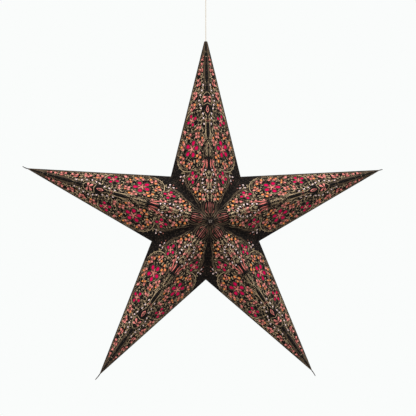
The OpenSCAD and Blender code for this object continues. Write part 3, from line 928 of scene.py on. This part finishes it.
def triangles_in(outline):
    """Which of the facet's triangles have their middle inside an outline."""
    low, high = outline.min(axis=0), outline.max(axis=0)
    near = np.nonzero(((middles > low) & (middles < high)).all(axis=1))[0]
    return near[inside(middles[near], outline)]


keep = inside(middles, BORDER)
flat_ink = np.zeros(len(flat_faces), int)
for name, outline in half:
    flat_ink[triangles_in(outline)] = INK_ORDER.index(name)
for outline in cuts:
    keep[triangles_in(outline)] = False
flat_faces, flat_ink = flat_faces[keep], flat_ink[keep]
print(len(flat_faces), "printed triangles on a facet")

# %% The rims of the cuts and of the facet
all_edges = np.sort(np.vstack([flat_faces[:, [0, 1]], flat_faces[:, [1, 2]], flat_faces[:, [2, 0]]]), axis=1)
rims, uses = np.unique(all_edges, axis=0, return_counts=True)
rims = rims[uses == 1]
rim_middles = flat_points[rims].mean(axis=1)


def beside(points, a, b):
    """Which points lie on the line through a and b."""
    way = unit(np.asarray(b, float) - a)
    away = np.asarray(points) - a
    return np.abs(away[:, 0] * way[1] - away[:, 1] * way[0]) < 0.004


on_border = (
    beside(rim_middles, (0, 0), (RIDGE, 0)) | beside(rim_middles, (FOOT, ACROSS), (RIDGE, 0))
    | beside(rim_middles, (0, 0), (FOOT, ACROSS)) | (np.hypot(*rim_middles.T) < 2.0)
)
cut_rims = rims[~on_border]
valley_points = flat_points[np.unique(rims[beside(rim_middles, (0, 0), (FOOT, ACROSS))])]
valley_points = valley_points[np.argsort(valley_points[:, 0])]
print(len(cut_rims), "rim edges round the cuts,", len(valley_points), "points on a valley")

# %% [markdown]
# ## Folding a point
# The printed side of the card is the flat drawing laid on four facets. The plain inner side
# lies one card's thickness below. Walls join the two round each cut and along the valleys, so
# that the card has a real thickness. Glue tabs, a flap and a tail of twisted paper at the tip
# belong to the same sheet.


# %% The pieces of a sheet
def inner_outline(facet, point, mean_centre):
    """The inner side's corners on a facet, in flat positions."""
    shift = inward(point, CARD)
    valley_out = np.cross([0.0, 1.0, 0.0], unit(facet.corner))
    apex = facet.tip + shift
    side_way = facet.corner - facet.tip
    corner = apex + side_way * -(apex @ valley_out) / (side_way @ valley_out)
    return np.array([facet.flatten(p + CARD * facet.out) for p in (mean_centre, apex, corner)])


def inner_centre(point, face):
    """Where the inner side's ridge line meets the valleys, taken as the same on both sides."""
    shift, found = inward(point, CARD), []
    for side in (0, 1):
        facet = Facet(point, side, face)
        valley_out = np.cross([0.0, 1.0, 0.0], unit(facet.corner))
        apex, way = facet.tip + shift, facet.centre - facet.tip
        found.append(apex + way * -(apex @ valley_out) / (way @ valley_out))
    return (found[0] + found[1]) / 2


def slab(top, thick_way):
    """A closed plate from the points of its upper face and the way down to its lower one."""
    top = np.asarray(top, float)
    n = len(top)
    points = list(top) + list(top + thick_way)
    faces = [tuple(range(n)), tuple(reversed(range(n, 2 * n)))]
    faces += [(k, k + n, (k + 1) % n + n, (k + 1) % n) for k in range(n)]
    return points, faces


class Sheet:
    """Collects the points, faces and finishes of one folded sheet."""

    def __init__(self):
        self.points, self.faces, self.finish = [], [], []
        self.count = 0

    def add(self, points, faces, finish):
        """Adds a part, with one finish for it all or one for each face."""
        self.points.append(np.asarray(points, float))
        self.faces += [tuple(int(p) + self.count for p in face) for face in faces]
        self.finish += list(finish) if hasattr(finish, "__len__") else [finish] * len(faces)
        self.count += len(points)


FINISHES = list(INKS.values()) + [cut_card, card_inside, twisted_paper]
BLACK, CUT, INSIDE, TWISTED = 0, len(INKS), len(INKS) + 1, len(INKS) + 2


# %% Fold the card of a point
def fold_card(sheet, point):
    """The four facets of a point: their printed side, their inner side and the walls between."""
    for side in (0, 1):
        for face in (-1, 1):
            facet = Facet(point, side, face)
            way = -1 if facet.flipped else 1
            sheet.add(facet.lay(flat_points), flat_faces[:, ::way], flat_ink)
            ring = facet.lay(flat_points[cut_rims].reshape(-1, 2))
            walls = np.vstack([ring, ring - CARD * facet.out])
            n = len(ring)
            sheet.add(walls, [(k, k + 1, k + 1 + n, k + n) for k in range(0, n, 2)], CUT)
            inner = inner_outline(facet, point, inner_centre(point, face))
            arc = HOLE_ARC + inner[0]
            border = np.vstack([arc[:1], inner[1:], arc[:0:-1]])
            inner_points, inner_faces, inner_middles = triangulate([border] + cuts)
            kept = inside(inner_middles, border)
            for outline in cuts:
                kept &= ~inside(inner_middles, outline)
            sheet.add(facet.lay(inner_points, CARD), inner_faces[kept][:, ::-way], INSIDE)
            arc_wall = np.vstack([facet.lay(HOLE_ARC), facet.lay(arc, CARD)])
            sheet.add(arc_wall, [(0, 1, 4, 3), (1, 2, 5, 4)], CUT)
            strip = np.vstack([facet.lay(valley_points), facet.lay([inner[2], arc[2]], CARD)])
            sheet.add(strip, [tuple(range(len(strip)))], CUT)


# %% Tabs, flap and tail
TAB_START, TAB_END, TAB_WIDTH = 14, 22, 8
FLAP_WIDTH, FLAP_START = 6, 10
END_GAPS = [24.0, 9.0, 9.0, 9.0, 9.0]  # from each tip to where its flap and lining end
SLANT, EDGE_SLANT = 1.04, 1.05  # length on the card for each millimetre of a gap
TAILS = [(0, 0), (3.2, 10), (8.4, 6), (9.4, 9), (6.4, 18)]  # length, and degrees of bend


def add_tabs(sheet, point):
    """The glue tabs along a point's four inner edges, folded in beside the next point's."""
    for side in (0, 1):
        for face in (-1, 1):
            facet = Facet(point, side, face)
            along = unit(facet.corner - facet.centre)
            valley_out = unit(np.cross(-facet.centre, along))
            inner_way = np.cross(along, valley_out)
            inner_way *= np.sign(inner_way @ -facet.centre)
            towards = valley_out * np.sign(valley_out @ facet.tip)
            length = np.linalg.norm(facet.corner - facet.centre)
            flat = [
                (TAB_START, 0.05), (length - TAB_END, 0.05),
                (length - TAB_END - TAB_WIDTH, TAB_WIDTH), (TAB_START + TAB_WIDTH, TAB_WIDTH),
            ]
            top = [facet.centre + a * along + b * inner_way + GLUE * towards for a, b in flat]
            points, faces = slab(top, CARD * towards)
            sheet.add(points, faces, BLACK)


def add_flap(sheet, point):
    """The flap that closes the point, glued inside its back facet."""
    facet = Facet(point, 0, 1)
    start, end = FLAP_START, edge_length - END_GAPS[point] * SLANT
    corners = [(start, 0.9), (end, 0.9), (end - 3, FLAP_WIDTH), (start + 3, FLAP_WIDTH)]
    flat = [by_edge(*place) for place in corners]
    points, faces = slab(facet.lay(flat, CARD + 0.02), -CARD * facet.out)
    sheet.add(points, faces, INSIDE)


def add_tail(sheet, point):
    """The end of the paper, twisted to a thread that bends to one side. The top point has none."""
    length, bend = TAILS[point]
    if not length:
        return
    direction = TIP_TURNS[point]
    line = [around(TIP_RADIUS - 2.2, direction), around(TIP_RADIUS, direction)]
    for k in range(1, 5):
        line.append(line[-1] + around(length / 4, direction - bend * k / 4))
    line = evenly(line, 0.3)
    t = np.linspace(0, 1, len(line))
    points, faces = sweep(line, 1.0 - 0.3 * t, 10, 0.75, 2 * math.pi * 0.3 * length * t)
    sheet.add(points, faces, TWISTED)


# %% Open the top point for the string
TIP_CUT = 10.8  # from the tip down to the cut


def cut_top(piece):
    """Cuts the tip off level, and closes the rim between the card's two sides."""
    mesh = bmesh.new()
    mesh.from_mesh(piece.data)
    level = (STAR_CENTRE[2] + TIP_RADIUS + TOP_STRETCH - TIP_CUT) * MM
    everything = mesh.verts[:] + mesh.edges[:] + mesh.faces[:]
    bmesh.ops.bisect_plane(
        mesh, geom=everything, plane_co=(0, 0, level), plane_no=(0, 0, 1), clear_outer=True
    )
    rim = [e for e in mesh.edges if e.is_boundary and all(abs(v.co.z - level) < 1e-6 for v in e.verts)]
    closed = bmesh.ops.bridge_loops(mesh, edges=rim)
    for face in closed["faces"]:
        face.material_index = CUT
    bmesh.ops.recalc_face_normals(mesh, faces=closed["faces"])
    mesh.to_mesh(piece.data)
    mesh.free()
    return len(closed["faces"])


# %% Build the five sheets
for point, name in enumerate(POINTS):
    sheet = Sheet()
    fold_card(sheet, point)
    add_tabs(sheet, point)
    add_flap(sheet, point)
    add_tail(sheet, point)
    card = make_piece(
        "printed_sheet_" + name, np.vstack(sheet.points) + STAR_CENTRE, sheet.faces, FINISHES, sheet.finish
    )
    if point == 0:
        print("the cut rim has", cut_top(card), "faces")
    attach(card, "root")
    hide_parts("point_" + name)
    print(card.name, "has", len(card.data.polygons), "faces")

# %% [markdown]
# ## The tissue behind the cuts
# Thin tissue is glued inside each point. It is magenta behind the rosettes, salmon in a strip
# beside the ridge and duller by the middle, so each cut shows its own colour. It could be a
# plain plane behind each petal, but one folded shell is how it is made, and light falls on it
# evenly.

# %% Build the five linings
MARGIN = GLUE + CARD + 0.3  # from a valley to the tissue, past the tab
VALLEY_SLANT = 0.75  # a facet leans over its tab, so the margin is longer on the facet
RIDGE_START, VALLEY_START = 6.4, 8.1  # where the tissue starts, along a ridge and along a valley
FLAP_GAP = 0.6  # from the flap to the tissue, which is open there
UNDER_CARD = 0.03  # from the card's inner side to the tissue
STRIP, MIDDLE = 19.5, 50.0  # how far the salmon strip and the dull middle reach
for point, name in enumerate(POINTS):
    lining = Sheet()
    for side in (0, 1):
        for face in (-1, 1):
            facet = Facet(point, side, face)
            way = -1 if facet.flipped else 1
            tip_x = RIDGE - END_GAPS[point] * SLANT
            edge_depth = FLAP_WIDTH + FLAP_GAP if (side, face) == (0, 1) else 0.0
            aside = np.array([valley_way[1], -valley_way[0]]) * MARGIN / VALLEY_SLANT
            corner_flat = by_edge(1.6 * MARGIN + 1.1 * edge_depth, edge_depth)
            tip_flat = by_edge(edge_length - END_GAPS[point] * EDGE_SLANT, edge_depth)
            near_flat = VALLEY_START * valley_way + aside
            border = np.array([(RIDGE_START, 0.0), (tip_x, 0.0), tip_flat, corner_flat, near_flat])
            strip = np.array([(MIDDLE, -5.0), (RIDGE, -5.0), (RIDGE, STRIP), (MIDDLE, STRIP)])
            flat, faces, mids = triangulate([border, strip])
            kept = inside(mids, border)
            by_ridge, by_middle = mids[kept][:, 1] < STRIP, mids[kept][:, 0] < MIDDLE
            tints = np.where(by_middle, DUSKY_TISSUE, np.where(by_ridge, SALMON_TISSUE, MAGENTA_TISSUE))
            for depth, turn in ((CARD + UNDER_CARD, way), (CARD + UNDER_CARD + TISSUE, -way)):
                lining.add(facet.lay(flat, 0.0, inward(point, depth)), faces[kept][:, ::turn], tints)
    tissue = make_piece(
        "tissue_" + name, np.vstack(lining.points) + STAR_CENTRE, lining.faces,
        TISSUES, lining.finish,
    )
    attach(tissue, "root")
    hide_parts("lining_" + name)
    print(tissue.name, "has", len(tissue.data.polygons), "faces")

# %% [markdown]
# ## Light and background
# The photograph has soft light from above and in front, and a plain white background. It could
# be lit by one strong lamp, but then the lower facets would be black. A large lamp above the
# camera and a weak one on the left light the star here, and the world fills the shade and shows
# white to the camera. The floor lies well below the star and only catches its shadow.

# %% Floor
FLOOR_RADIUS, FLOOR_HEIGHT = 1.9, -1.25  # metres
pale_floor = make_finish(
    "pale_floor", (238, 238, 236), (234, 234, 232), (228, 228, 226), 3.0, 0.1, 200.0, (0.7, 0.8), bump=0.05
)
floor_mesh = bpy.data.meshes.new("floor")
shape = bmesh.new()
bmesh.ops.create_circle(shape, cap_ends=True, radius=FLOOR_RADIUS, segments=96)
shape.to_mesh(floor_mesh)
shape.free()
floor_mesh.materials.append(pale_floor)
floor = bpy.data.objects.new("floor", floor_mesh)
floor.location = (0, 0, FLOOR_HEIGHT)
bpy.context.scene.collection.objects.link(floor)
print("the floor is", round(2 * FLOOR_RADIUS, 1), "m across")

# %% World
world = bpy.data.worlds.new("white_room")
bpy.context.scene.world = world
world.use_nodes = True
tree = world.node_tree
room = tree.nodes["Background"]
room.inputs["Color"].default_value = (1.0, 0.92, 0.86, 1)
room.inputs["Strength"].default_value = 0.41
backdrop = add_node(tree, "ShaderNodeBackground", in_Color=as_light(250, 252, 251), in_Strength=1.0)
path = add_node(tree, "ShaderNodeLightPath")
seen = add_node(tree, "ShaderNodeMath", operation="MAXIMUM")
seen_through = add_node(tree, "ShaderNodeMath", operation="MAXIMUM")
choose = add_node(tree, "ShaderNodeMixShader")
for source, goal in (
    (path.outputs["Is Camera Ray"], seen.inputs[0]),
    (path.outputs["Is Glossy Ray"], seen.inputs[1]),
    (seen.outputs[0], seen_through.inputs[0]),
    (path.outputs["Is Transmission Ray"], seen_through.inputs[1]),
    (seen_through.outputs[0], choose.inputs[0]),
    (room.outputs[0], choose.inputs[1]),
    (backdrop.outputs[0], choose.inputs[2]),
    (choose.outputs[0], tree.nodes["World Output"].inputs["Surface"]),
):
    tree.links.new(source, goal)
print("the world has", len(tree.nodes), "nodes")


# %% Lamps
def add_lamp(name, place, size, power, colour):
    """A square soft lamp that faces the star."""
    data = bpy.data.lights.new(name, "AREA")
    data.size, data.energy, data.color = size, power, colour
    lamp = bpy.data.objects.new(name, data)
    lamp.location = place
    lamp.rotation_mode = "QUATERNION"
    lamp.rotation_quaternion = (target - lamp.location).to_track_quat("-Z", "Y")
    bpy.context.scene.collection.objects.link(lamp)
    print(name, "is", round((target - lamp.location).length, 2), "m from the star's centre")


add_lamp("soft_lamp_above", (0.3, -1.5, 1.2), 1.4, 54, (0.93, 0.97, 1.0))
add_lamp("soft_lamp_left", (-1.8, -1.2, 0.1), 1.2, 12, (1.0, 0.97, 0.95))
bpy.context.scene.view_settings.view_transform = "Standard"
